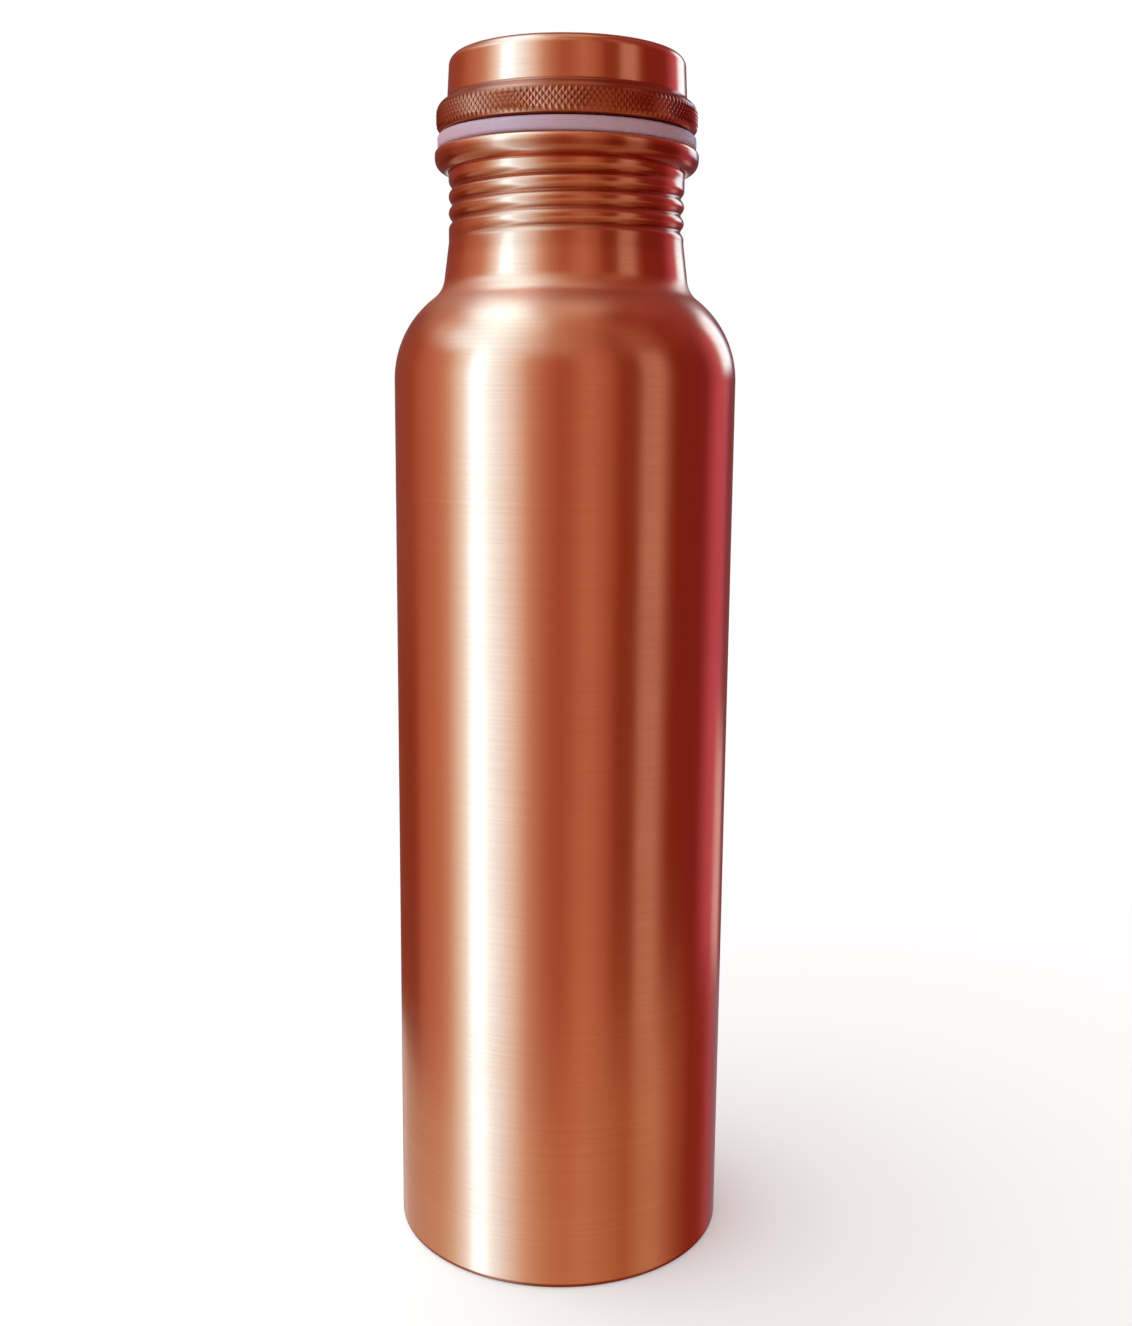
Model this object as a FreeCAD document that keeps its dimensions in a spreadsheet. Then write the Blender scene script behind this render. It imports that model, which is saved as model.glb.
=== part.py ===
import FreeCAD, Part
import math
import os
import Sketcher

# Copper water bottle with a screw cap, in millimetres. +Z is up and the origin is on the bottle's
# axis, at the surface that it stands on. Every piece but the sealing ring is thin copper sheet.

doc = FreeCAD.newDocument("CopperBottle")

# ---------------------------------------------------------------- driving dimensions
sizes = doc.addObject("Spreadsheet::Sheet", "Sizes")

DIMENSIONS = [
    # the body shell
    ("body_radius", 37.5),          # outside of the straight wall
    ("body_sheet", 0.5),            # copper sheet of the body shell and the base disc
    ("foot_corner", 1.0),           # outside radius of the bottom edge
    ("foot_width", 3.0),            # the flange under the wall, from the wall's outside
    ("shoulder_start", 195.9),      # height where the straight wall ends
    ("shoulder_radius", 22.0),      # outside radius of the shoulder's round
    ("neck_flare", 1.0),            # how much wider the neck is where it leaves the shoulder
    ("neck_root_fillet", 6.0),      # hollow round between shoulder and neck
    ("neck_taper", 7.3),            # slope of the neck below the thread, in degrees
    ("neck_radius", 25.5),          # outside of the threaded neck
    # the curled rim at the mouth
    ("rim_top", 244.35),            # height of the mouth
    ("rim_reach", 2.95),            # how far the curl stands out from the neck
    ("rim_height", 4.6),            # height of the curl
    ("rim_corner", 0.95),           # outside radius of the curl's upper edge
    ("rim_bend", 0.8),              # inside radius of the bend from neck to rim
    ("rim_gap", 0.1),               # slit between the curl's end and the neck
    # the rolled screw thread
    ("thread_pitch", 3.45),
    ("thread_depth", 0.75),
    ("thread_half_width", 1.05),    # half the width of the groove at the neck's surface
    ("thread_drop", 18.21),         # from the mouth down to the neck groove's lower end
    ("thread_turns", 3.5),
    ("thread_clearance", 0.4),      # radial play between the plug's thread and the neck's
    ("thread_azimuth", 180.0),      # direction of the thread's lower end, in degrees from +X
    ("cut_overrun", 0.1),           # how far a thread cut's outline reaches clear of the sheet
    # the base disc
    ("base_recess", 3.2),           # height of the base panel above the ground
    ("base_bend", 1.2),             # inside radius of the bend between panel and skirt
    ("braze_gap", 0.05),            # brazed joint between skirt and wall
    # the sealing ring
    ("ring_height", 3.15),
    ("ring_inset", 0.6),            # how far the ring's outside stays inside the rim's
    ("ring_edge", 0.9),             # height of the rounded part of each outer edge
    ("ring_bulge", 0.35),           # how far each outer edge draws in
    ("ring_play", 0.35),            # radial play between the ring and the plug
    ("seat_gap", 0.02),             # left at each sealing face, so that faces never bite
    # the cap shell
    ("cap_sheet", 0.5),             # copper sheet of the cap shell and the screw plug
    ("cap_height", 16.2),           # from the sealing ring's upper face to the cap's top
    ("cap_top_round", 2.2),
    ("cap_flare", 0.35),            # how much wider the wall is at the grip bead
    ("bead_inset", 0.35),           # how far the grip bead's outside stays inside the rim's
    ("bead_step", 2.4),             # how far the grip bead stands out from the cap's wall
    ("bead_height", 7.0),
    ("bead_root_fillet", 0.8),      # hollow round between the cap's wall and the bead
    ("bead_upper_round", 3.0),
    ("bead_lower_round", 2.2),
    ("bead_lip_width", 3.1),        # width of the lip folded under the bead
    # the screw plug
    ("plug_depth", 19.35),          # how far the plug reaches below the rim
    ("plug_corner", 1.5),           # outside radius of its bottom edge
    ("plug_turns", 3.0),
    ("flange_play", 0.1),           # between the flange's edge and the round inside the bead
    ("flange_bend", 0.8),           # inside radius of the bend from wall to flange
]

for row, (alias, value) in enumerate(DIMENSIONS, start=1):
    sizes.set(f"A{row}", alias)
    sizes.set(f"B{row}", str(value))
    sizes.setAlias(f"B{row}", alias)
doc.recompute()


def size(alias):
    """The sheet's cell of this name, as it is written in an expression."""
    return f"Sizes.{alias}"


def value_of(expression):
    """The number that an expression on the sheet gives, in millimetres or degrees."""
    result = sizes.evalExpression(str(expression))
    return float(getattr(result, "Value", result))


# ---------------------------------------------------------------- heights and radii that follow
FOOT_INNER = f"({size('body_radius')} - {size('foot_width')})"
BODY_INNER = f"({size('body_radius')} - {size('body_sheet')})"
NECK_INNER = f"({size('neck_radius')} - {size('body_sheet')})"
NECK_ROOT_RADIUS = f"({size('neck_radius')} + {size('neck_flare')})"
RIM_RADIUS = f"({size('neck_radius')} + {size('rim_reach')})"

# The shoulder's arc and the neck root's arc touch. Each has a centre, and the line between the
# centres goes through the point where they touch.
SHOULDER_CENTRE_R = f"({size('body_radius')} - {size('shoulder_radius')})"
NECK_COS = f"cos({size('neck_taper')} * 1deg)"
NECK_SIN = f"sin({size('neck_taper')} * 1deg)"
ROOT_CENTRE_R = f"({NECK_ROOT_RADIUS} + {size('neck_root_fillet')} * {NECK_COS})"
CENTRES_APART = f"({size('shoulder_radius')} + {size('neck_root_fillet')})"
CENTRES_OUT = f"({ROOT_CENTRE_R} - {SHOULDER_CENTRE_R})"
CENTRES_UP = f"sqrt({CENTRES_APART} ^ 2 - {CENTRES_OUT} ^ 2)"
ROOT_CENTRE_Z = f"({size('shoulder_start')} + {CENTRES_UP})"
TOUCH_OUT = f"({CENTRES_OUT} / {CENTRES_APART})"
TOUCH_UP = f"({CENTRES_UP} / {CENTRES_APART})"
NECK_START_Z = f"({ROOT_CENTRE_Z} - {size('neck_root_fillet')} * {NECK_SIN})"
NECK_STRAIGHT_Z = f"({NECK_START_Z} + {size('neck_flare')} / tan({size('neck_taper')} * 1deg))"

# The rim's curl turns out of the neck, down and back in to the neck.
CURL_END_R = f"({size('neck_radius')} + {size('rim_gap')})"
CURL_RADIUS = f"({RIM_RADIUS} - {CURL_END_R})"
CURL_CENTRE_Z = f"({size('rim_top')} - {size('rim_height')} + {CURL_RADIUS})"

# The rolled thread is a round groove. Its centre lies outside the neck, and the ridge that it
# raises inside the neck has the same centre.
GROOVE_RADIUS = (f"(({size('thread_half_width')} ^ 2 + {size('thread_depth')} ^ 2)"
                 f" / (2 * {size('thread_depth')}))")
GROOVE_CENTRE_R = f"({size('neck_radius')} - {size('thread_depth')} + {GROOVE_RADIUS})"
RIDGE_CREST = f"({NECK_INNER} - {size('thread_depth')})"
THREAD_START = f"({size('rim_top')} - {size('thread_drop')})"

# The plug's wall runs inside the neck's ridges, and its own ridge runs between them.
PLUG_RADIUS = f"({RIDGE_CREST} - {size('thread_clearance')})"
PLUG_RIDGE_CENTRE_R = f"({PLUG_RADIUS} + {size('thread_depth')} - {GROOVE_RADIUS})"
PLUG_THREAD_START = f"({THREAD_START} + {size('thread_pitch')} / 2)"

# The cap stands on the sealing ring, and the ring stands on the rim.
RING_BOTTOM = f"({size('rim_top')} + {size('seat_gap')})"
RING_TOP = f"({RING_BOTTOM} + {size('ring_height')})"
CAP_BOTTOM = f"({RING_TOP} + {size('seat_gap')})"
CAP_TOP = f"({CAP_BOTTOM} + {size('cap_height')})"
BEAD_TOP = f"({CAP_BOTTOM} + {size('bead_height')})"
RING_RADIUS = f"({RIM_RADIUS} - {size('ring_inset')})"
BEAD_RADIUS = f"({RIM_RADIUS} - {size('bead_inset')})"
CAP_WALL_FOOT = f"({BEAD_RADIUS} - {size('bead_step')})"
CAP_RADIUS = f"({CAP_WALL_FOOT} - {size('cap_flare')})"

# The bead's upper round touches the hollow round at its root, as at the shoulder.
BEAD_CENTRE_R = f"({BEAD_RADIUS} - {size('bead_upper_round')})"
BEAD_CENTRE_Z = f"({BEAD_TOP} - {size('bead_upper_round')})"
BEAD_CENTRES_APART = f"({size('bead_upper_round')} + {size('bead_root_fillet')})"
BEAD_CENTRES_OUT = f"({CAP_WALL_FOOT} + {size('bead_root_fillet')} - {BEAD_CENTRE_R})"
BEAD_CENTRES_UP = f"sqrt({BEAD_CENTRES_APART} ^ 2 - {BEAD_CENTRES_OUT} ^ 2)"
BEAD_TOUCH_OUT = f"({BEAD_CENTRES_OUT} / {BEAD_CENTRES_APART})"
BEAD_TOUCH_UP = f"({BEAD_CENTRES_UP} / {BEAD_CENTRES_APART})"
CAP_WALL_FOOT_Z = f"({BEAD_CENTRE_Z} + {BEAD_CENTRES_UP})"
FLANGE_BOTTOM = f"({CAP_BOTTOM} + {size('cap_sheet')})"
PLUG_BOTTOM = f"({size('rim_top')} - {size('plug_depth')})"


# ---------------------------------------------------------------- helpers
def less(first, second):
    """The expression for one length less another."""
    return f"({first} - {second})"


def more(first, second):
    """The expression for two lengths together."""
    return f"({first} + {second})"


def new_body(label):
    """An empty body, named for the piece that it holds."""
    body = doc.addObject("PartDesign::Body", label)
    body.Label = label
    return body


def origin_plane(body, role):
    """One of the body's own origin planes or axes, by its role."""
    for feature in body.Origin.OriginFeatures:
        if feature.Role == role:
            return feature
    raise ValueError(role)


def hold_point(sketch, name, geometry, end, radius, height):
    """Ties a corner of an outline to its radius and height, each an expression on the sheet."""
    for kind, axis_line, expression, tag in (("DistanceX", -2, radius, "r"),
                                             ("DistanceY", -1, height, "z")):
        if expression == "0":
            sketch.addConstraint(Sketcher.Constraint("PointOnObject", geometry, end, axis_line))
            continue
        index = sketch.addConstraint(
            Sketcher.Constraint(kind, -1, 1, geometry, end, value_of(expression)))
        sketch.renameConstraint(index, f"{name}_{tag}")
        sketch.setExpression(f"Constraints.{name}_{tag}", expression)


def draw_outline(body, name, corners):
    """A closed outline in the half plane of the axis.

    Each corner is (radius, height) or (radius, height, bend, turn). A bend is the radius of the
    arc that leads to the next corner, and its turn is "left" or "right". Without a bend the side
    that leads to the next corner is straight.
    """
    sketch = body.newObject("Sketcher::SketchObject", name)
    sketch.AttachmentSupport = [(origin_plane(body, "XZ_Plane"), "")]
    sketch.MapMode = "FlatFace"
    sides = []
    for index, corner in enumerate(corners):
        following = corners[(index + 1) % len(corners)]
        start = FreeCAD.Vector(value_of(corner[0]), value_of(corner[1]), 0)
        finish = FreeCAD.Vector(value_of(following[0]), value_of(following[1]), 0)
        if len(corner) == 2:
            geometry = sketch.addGeometry(Part.LineSegment(start, finish), False)
            sides.append((geometry, 1, 2))
            continue
        bend = value_of(corner[2])
        chord = finish - start
        middle = (start + finish) * 0.5
        side = 1 if corner[3] == "left" else -1
        inward = FreeCAD.Vector(-chord.y, chord.x, 0).normalize() * side
        rise = math.sqrt(max(bend ** 2 - (chord.Length / 2) ** 2, 0.0))
        centre = middle + inward * rise
        first = math.atan2(start.y - centre.y, start.x - centre.x)
        last = math.atan2(finish.y - centre.y, finish.x - centre.x)
        if side < 0:
            first, last = last, first
        if last <= first:
            last += 2 * math.pi
        circle = Part.Circle(centre, FreeCAD.Vector(0, 0, 1), bend)
        geometry = sketch.addGeometry(Part.ArcOfCircle(circle, first, last), False)
        sides.append((geometry, 1, 2) if side > 0 else (geometry, 2, 1))
        radius = sketch.addConstraint(Sketcher.Constraint("Radius", geometry, bend))
        sketch.renameConstraint(radius, f"bend_{index}")
        sketch.setExpression(f"Constraints.bend_{index}", corner[2])
    for index, corner in enumerate(corners):
        geometry, start_end, _ = sides[index]
        before, _, finish_end = sides[index - 1]
        sketch.addConstraint(
            Sketcher.Constraint("Coincident", before, finish_end, geometry, start_end))
        hold_point(sketch, f"corner_{index}", geometry, start_end, corner[0], corner[1])
    return sketch


def turn(body, name, sketch):
    """Spins an outline a full turn about the body's axis."""
    feature = body.newObject("PartDesign::Revolution", name)
    feature.Profile = sketch
    feature.ReferenceAxis = (sketch, ["V_Axis"])
    feature.Angle = 360.0
    return feature


def roll_thread(body, kind, name, sketch, turns):
    """Carries a small outline round the axis along the screw thread's right-hand helix."""
    feature = body.newObject(kind, name)
    feature.Profile = sketch
    feature.ReferenceAxis = (sketch, ["V_Axis"])
    feature.Mode = "pitch-turns-angle"
    feature.setExpression("Pitch", size("thread_pitch"))
    feature.setExpression("Turns", turns)
    feature.LeftHanded = False
    return feature


# ---------------------------------------------------------------- body shell
def make_body_shell():
    """Wall, shoulder, neck and curled rim: one drawn sheet, with the thread rolled into the neck."""
    body = new_body("body_shell")
    sheet = size("body_sheet")
    inner_root = more(size("neck_root_fillet"), sheet)
    inner_shoulder = less(size("shoulder_radius"), sheet)
    rim_under = less(size("rim_top"), sheet)
    kink = f"({sheet} * tan({size('neck_taper')} * 0.5deg))"
    section = draw_outline(body, "wall_section", [
        (FOOT_INNER, "0"),
        (less(size("body_radius"), size("foot_corner")), "0", size("foot_corner"), "left"),
        (size("body_radius"), size("foot_corner")),
        (size("body_radius"), size("shoulder_start"), size("shoulder_radius"), "left"),
        (f"({SHOULDER_CENTRE_R} + {size('shoulder_radius')} * {TOUCH_OUT})",
         f"({size('shoulder_start')} + {size('shoulder_radius')} * {TOUCH_UP})",
         size("neck_root_fillet"), "right"),
        (NECK_ROOT_RADIUS, NECK_START_Z),
        (size("neck_radius"), NECK_STRAIGHT_Z),
        (size("neck_radius"), less(rim_under, size("rim_bend")), size("rim_bend"), "right"),
        (more(size("neck_radius"), size("rim_bend")), rim_under),
        (less(RIM_RADIUS, size("rim_corner")), rim_under,
         less(size("rim_corner"), sheet), "right"),
        (less(RIM_RADIUS, sheet), less(size("rim_top"), size("rim_corner"))),
        (less(RIM_RADIUS, sheet), CURL_CENTRE_Z, less(CURL_RADIUS, sheet), "right"),
        (CURL_END_R, f"({size('rim_top')} - {size('rim_height')} + {sheet})"),
        (CURL_END_R, less(size("rim_top"), size("rim_height")), CURL_RADIUS, "left"),
        (RIM_RADIUS, CURL_CENTRE_Z),
        (RIM_RADIUS, less(size("rim_top"), size("rim_corner")),
         size("rim_corner"), "left"),
        (less(RIM_RADIUS, size("rim_corner")), size("rim_top")),
        (more(size("neck_radius"), size("rim_bend")), size("rim_top"),
         more(size("rim_bend"), sheet), "left"),
        (NECK_INNER, less(rim_under, size("rim_bend"))),
        (NECK_INNER, less(NECK_STRAIGHT_Z, kink)),
        (f"({ROOT_CENTRE_R} - {inner_root} * {NECK_COS})",
         f"({ROOT_CENTRE_Z} - {inner_root} * {NECK_SIN})", inner_root, "left"),
        (f"({SHOULDER_CENTRE_R} + {inner_shoulder} * {TOUCH_OUT})",
         f"({size('shoulder_start')} + {inner_shoulder} * {TOUCH_UP})",
         inner_shoulder, "right"),
        (BODY_INNER, size("shoulder_start")),
        (BODY_INNER, size("foot_corner"), less(size("foot_corner"), sheet), "right"),
        (less(size("body_radius"), size("foot_corner")), sheet),
        (FOOT_INNER, sheet),
    ])
    turn(body, "wall", section)

    # The ridge inside the neck. Its root reaches back into the middle of the sheet.
    ridge_radius = more(GROOVE_RADIUS, sheet)
    ridge_root = f"({size('neck_radius')} - {sheet} / 2)"
    ridge_half = f"sqrt({ridge_radius} ^ 2 - ({GROOVE_CENTRE_R} - {ridge_root}) ^ 2)"
    ridge = draw_outline(body, "inner_ridge_section", [
        (ridge_root, more(THREAD_START, ridge_half), ridge_radius, "left"),
        (ridge_root, less(THREAD_START, ridge_half)),
    ])
    roll_thread(body, "PartDesign::AdditiveHelix", "inner_ridge", ridge, size("thread_turns"))

    # The groove outside the neck. Its mouth reaches clear of the sheet.
    groove_mouth = more(size("neck_radius"), size("cut_overrun"))
    groove_half = f"sqrt({GROOVE_RADIUS} ^ 2 - ({GROOVE_CENTRE_R} - {groove_mouth}) ^ 2)"
    groove = draw_outline(body, "outer_groove_section", [
        (groove_mouth, more(THREAD_START, groove_half), GROOVE_RADIUS, "left"),
        (groove_mouth, less(THREAD_START, groove_half)),
    ])
    roll_thread(body, "PartDesign::SubtractiveHelix", "outer_groove", groove,
                size("thread_turns"))
    return body


# ---------------------------------------------------------------- base disc
def make_base_disc():
    """Pressed dish that closes the bottom: a raised panel with a skirt brazed inside the wall."""
    body = new_body("base_disc")
    sheet = size("body_sheet")
    skirt = less(BODY_INNER, size("braze_gap"))
    skirt_foot = more(size("foot_corner"), size("seat_gap"))
    panel_top = more(size("base_recess"), sheet)
    bend = size("base_bend")
    outer_bend = more(bend, sheet)
    section = draw_outline(body, "dish_section", [
        ("0", size("base_recess")),
        (f"({skirt} - {sheet} - {bend})", size("base_recess"), bend, "right"),
        (less(skirt, sheet), less(size("base_recess"), bend)),
        (less(skirt, sheet), skirt_foot),
        (skirt, skirt_foot),
        (skirt, less(panel_top, outer_bend), outer_bend, "left"),
        (less(skirt, outer_bend), panel_top),
        ("0", panel_top),
    ])
    turn(body, "dish", section)
    return body


# ---------------------------------------------------------------- sealing ring
def make_sealing_ring():
    """Silicone ring between the rim and the grip bead, loose on the plug, with soft outer edges."""
    body = new_body("sealing_ring")
    inner = more(PLUG_RADIUS, size("ring_play"))
    edge = size("ring_edge")
    drawn_in = less(RING_RADIUS, size("ring_bulge"))
    edge_round = f"(({edge} ^ 2 + {size('ring_bulge')} ^ 2) / (2 * {size('ring_bulge')}))"
    section = draw_outline(body, "ring_section", [
        (inner, RING_BOTTOM),
        (drawn_in, RING_BOTTOM, edge_round, "left"),
        (RING_RADIUS, more(RING_BOTTOM, edge)),
        (RING_RADIUS, less(RING_TOP, edge), edge_round, "left"),
        (drawn_in, RING_TOP),
        (inner, RING_TOP),
    ])
    turn(body, "ring", section)
    return body


# ---------------------------------------------------------------- cap shell
def make_cap_shell():
    """Drawn cup with a round top edge and a grip bead whose lip is folded in under the plug."""
    body = new_body("cap_shell")
    sheet = size("cap_sheet")
    top_round = size("cap_top_round")
    upper = size("bead_upper_round")
    lower = size("bead_lower_round")
    wall_top_z = less(CAP_TOP, top_round)
    root = size("bead_root_fillet")
    inner_upper = less(upper, sheet)
    section = draw_outline(body, "cup_section", [
        (less(BEAD_RADIUS, size("bead_lip_width")), CAP_BOTTOM),
        (less(BEAD_RADIUS, lower), CAP_BOTTOM, lower, "left"),
        (BEAD_RADIUS, more(CAP_BOTTOM, lower)),
        (BEAD_RADIUS, BEAD_CENTRE_Z, upper, "left"),
        (f"({BEAD_CENTRE_R} + {upper} * {BEAD_TOUCH_OUT})",
         f"({BEAD_CENTRE_Z} + {upper} * {BEAD_TOUCH_UP})", root, "right"),
        (CAP_WALL_FOOT, CAP_WALL_FOOT_Z),
        (CAP_RADIUS, wall_top_z, top_round, "left"),
        (less(CAP_RADIUS, top_round), CAP_TOP),
        ("0", CAP_TOP),
        ("0", less(CAP_TOP, sheet)),
        (less(CAP_RADIUS, top_round), less(CAP_TOP, sheet),
         less(top_round, sheet), "right"),
        (less(CAP_RADIUS, sheet), wall_top_z),
        (less(CAP_WALL_FOOT, sheet), CAP_WALL_FOOT_Z, more(root, sheet), "left"),
        (f"({BEAD_CENTRE_R} + {inner_upper} * {BEAD_TOUCH_OUT})",
         f"({BEAD_CENTRE_Z} + {inner_upper} * {BEAD_TOUCH_UP})", inner_upper, "right"),
        (less(BEAD_RADIUS, sheet), BEAD_CENTRE_Z),
        (less(BEAD_RADIUS, sheet), more(CAP_BOTTOM, lower), less(lower, sheet), "right"),
        (less(BEAD_RADIUS, lower), more(CAP_BOTTOM, sheet)),
        (less(BEAD_RADIUS, size("bead_lip_width")), more(CAP_BOTTOM, sheet)),
    ])
    turn(body, "cup", section)
    return body


# ---------------------------------------------------------------- screw plug
def make_screw_plug():
    """The cap's inner cup: a flange held in the grip bead, a wall with a rolled ridge, a floor."""
    body = new_body("screw_plug")
    sheet = size("cap_sheet")
    corner = size("plug_corner")
    bend = size("flange_bend")
    flange_top = more(FLANGE_BOTTOM, sheet)
    flange_radius = f"({BEAD_RADIUS} - {size('bead_lower_round')} - {size('flange_play')})"
    plug_inner = less(PLUG_RADIUS, sheet)
    section = draw_outline(body, "plug_section", [
        ("0", PLUG_BOTTOM),
        (less(PLUG_RADIUS, corner), PLUG_BOTTOM, corner, "left"),
        (PLUG_RADIUS, more(PLUG_BOTTOM, corner)),
        (PLUG_RADIUS, less(FLANGE_BOTTOM, bend), bend, "right"),
        (more(PLUG_RADIUS, bend), FLANGE_BOTTOM),
        (flange_radius, FLANGE_BOTTOM),
        (flange_radius, flange_top),
        (more(PLUG_RADIUS, bend), flange_top, more(bend, sheet), "left"),
        (plug_inner, less(FLANGE_BOTTOM, bend)),
        (plug_inner, more(PLUG_BOTTOM, corner), less(corner, sheet), "right"),
        (less(PLUG_RADIUS, corner), more(PLUG_BOTTOM, sheet)),
        ("0", more(PLUG_BOTTOM, sheet)),
    ])
    turn(body, "cup", section)

    # The ridge that runs between the neck's ridges, rooted in the middle of the sheet.
    root = f"({PLUG_RADIUS} - {sheet} / 2)"
    ridge_half = f"sqrt({GROOVE_RADIUS} ^ 2 - ({PLUG_RIDGE_CENTRE_R} - {root}) ^ 2)"
    ridge = draw_outline(body, "ridge_section", [
        (root, less(PLUG_THREAD_START, ridge_half), GROOVE_RADIUS, "left"),
        (root, more(PLUG_THREAD_START, ridge_half)),
    ])
    roll_thread(body, "PartDesign::AdditiveHelix", "ridge", ridge, size("plug_turns"))

    # The hollow that the same rolling leaves inside the plug.
    hollow_radius = less(GROOVE_RADIUS, sheet)
    mouth = less(plug_inner, size("cut_overrun"))
    hollow_half = f"sqrt({hollow_radius} ^ 2 - ({PLUG_RIDGE_CENTRE_R} - {mouth}) ^ 2)"
    hollow = draw_outline(body, "hollow_section", [
        (mouth, less(PLUG_THREAD_START, hollow_half), hollow_radius, "left"),
        (mouth, more(PLUG_THREAD_START, hollow_half)),
    ])
    roll_thread(body, "PartDesign::SubtractiveHelix", "hollow", hollow, size("plug_turns"))
    return body


bottle = [make_body_shell(), make_base_disc(), make_sealing_ring(), make_cap_shell(),
          make_screw_plug()]

# The two threads start at the same azimuth, so that they stay in step.
for threaded in (bottle[0], bottle[-1]):
    threaded.Placement = FreeCAD.Placement(
        FreeCAD.Vector(0, 0, 0),
        FreeCAD.Rotation(FreeCAD.Vector(0, 0, 1), value_of(size("thread_azimuth"))))

doc.recompute()
for item in doc.Objects:
    if "Invalid" in item.State or "Error" in item.State:
        raise RuntimeError(f"{item.Name} failed: {item.State}")
for piece in bottle:
    if piece.Shape.isNull() or not piece.Shape.isValid() or len(piece.Shape.Solids) != 1:
        raise RuntimeError(f"{piece.Label} isn't one valid solid")

os.makedirs("parts", exist_ok=True)
for piece in bottle:
    piece.Shape.exportStep(os.path.join("parts", f"{piece.Label}.step"))
    print(piece.Label, round(piece.Shape.Volume, 1), piece.Shape.BoundBox)
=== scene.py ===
import math

import bmesh
import bpy
from mathutils import Matrix, Vector


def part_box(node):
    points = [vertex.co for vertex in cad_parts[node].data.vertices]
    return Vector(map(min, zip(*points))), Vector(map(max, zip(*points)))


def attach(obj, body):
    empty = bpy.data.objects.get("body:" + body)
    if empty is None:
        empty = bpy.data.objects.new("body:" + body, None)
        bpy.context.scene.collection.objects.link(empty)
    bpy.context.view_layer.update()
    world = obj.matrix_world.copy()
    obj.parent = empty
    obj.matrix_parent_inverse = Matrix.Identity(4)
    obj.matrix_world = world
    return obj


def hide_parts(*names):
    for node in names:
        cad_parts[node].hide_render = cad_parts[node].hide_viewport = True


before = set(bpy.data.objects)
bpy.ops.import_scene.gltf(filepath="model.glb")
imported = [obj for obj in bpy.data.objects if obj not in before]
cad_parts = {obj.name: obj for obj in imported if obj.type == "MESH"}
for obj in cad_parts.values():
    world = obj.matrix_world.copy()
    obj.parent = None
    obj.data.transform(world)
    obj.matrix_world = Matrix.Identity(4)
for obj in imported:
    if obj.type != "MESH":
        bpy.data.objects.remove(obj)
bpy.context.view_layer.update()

# ------------------------------------------------------------------ body shell
# The bottle itself is one thin copper sheet: a straight drawn wall, a round shoulder, a tapered
# neck with the screw thread rolled into it, and a mouth whose edge is curled out and down. The
# wall is brushed while it turns on a lathe, so its grain runs round it.
MM = 0.001
FULL_TURN = 2 * math.pi
MERGE_DISTANCE = 1e-7
shell_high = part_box("body_shell")[1]
SHEET = 0.5 * MM
HALF_SHEET = SHEET / 2
BODY_RADIUS = shell_high[0]
RIM_TOP = shell_high[2]
FOOT_CORNER = 1.0 * MM
FOOT_WIDTH = 3.0 * MM
# Top of the painted contact shadow along the foot.
FOOT_SHADOW_TOP = 1.3 * MM
SHOULDER_START = 195.9 * MM
SHOULDER_RADIUS = 22.0 * MM
NECK_ROOT_RADIUS = 26.5 * MM
NECK_ROOT_FILLET = 6.0 * MM
NECK_TAPER = math.radians(7.3)
NECK_RADIUS = 25.5 * MM
RIM_RADIUS = 28.45 * MM
RIM_HEIGHT = 4.6 * MM
RIM_CORNER = 0.95 * MM
RIM_BEND = 0.8 * MM
RIM_GAP = 0.1 * MM
THREAD_PITCH = 3.45 * MM
THREAD_DEPTH = 0.75 * MM
THREAD_START = 226.14 * MM
THREAD_TURNS = 3.5
THREAD_AZIMUTH = math.pi
THREAD_FADE = 0.22
THREAD_CREST = 1.25
THREAD_RUN_OUT = 2 * MM
# Shares of darkening: painted shade along the thread and under the curl of the rim, a painted
# contact shadow at the foot, and a darker threaded zone.
THREAD_SHADE = 1.0
NECK_DARKENING = 0.2
RIM_SHADE = 0.7
FOOT_SHADOW = 1.0
SHELL_STEPS = 192


def arc(radius_at, height_at, radius, first, last, steps):
    """Points along a round stretch of an outline, from one angle to another, both in degrees."""
    points = []
    for step in range(steps + 1):
        angle = math.radians(first + (last - first) * step / steps)
        points.append((radius_at + radius * math.cos(angle),
                       height_at + radius * math.sin(angle)))
    return points


def straight(start, finish, steps):
    """Points along a straight stretch, without its two ends."""
    return [(start[0] + (finish[0] - start[0]) * step / steps,
             start[1] + (finish[1] - start[1]) * step / steps) for step in range(1, steps)]


def spun_mesh(outline, steps, closed=False):
    """Turns an outline of (radius, height) points round the bottle's axis."""
    metal = bmesh.new()
    corners = [metal.verts.new((radius, 0.0, height)) for radius, height in outline]
    sides = [metal.edges.new(pair) for pair in zip(corners, corners[1:])]
    if closed:
        sides.append(metal.edges.new((corners[-1], corners[0])))
    bmesh.ops.spin(metal, geom=corners + sides, cent=(0, 0, 0), axis=(0, 0, 1),
                   angle=FULL_TURN, steps=steps, use_merge=True)
    bmesh.ops.remove_doubles(metal, verts=metal.verts, dist=MERGE_DISTANCE)
    bmesh.ops.recalc_face_normals(metal, faces=metal.faces)
    for face in metal.faces:
        face.smooth = True
    return metal


def finished_piece(name, metal, body, material, node, thickness=None):
    """Puts a mesh in the scene as a piece of the bottle, with its sheet's thickness."""
    mesh = bpy.data.meshes.new(name)
    metal.to_mesh(mesh)
    metal.free()
    piece = bpy.data.objects.new(name, mesh)
    bpy.context.scene.collection.objects.link(piece)
    mesh.materials.append(material)
    if thickness:
        wall = piece.modifiers.new("sheet", "SOLIDIFY")
        wall.thickness = thickness
        wall.offset = 0.0
        wall.use_even_offset = True
    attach(piece, body)
    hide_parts(node)


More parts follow.
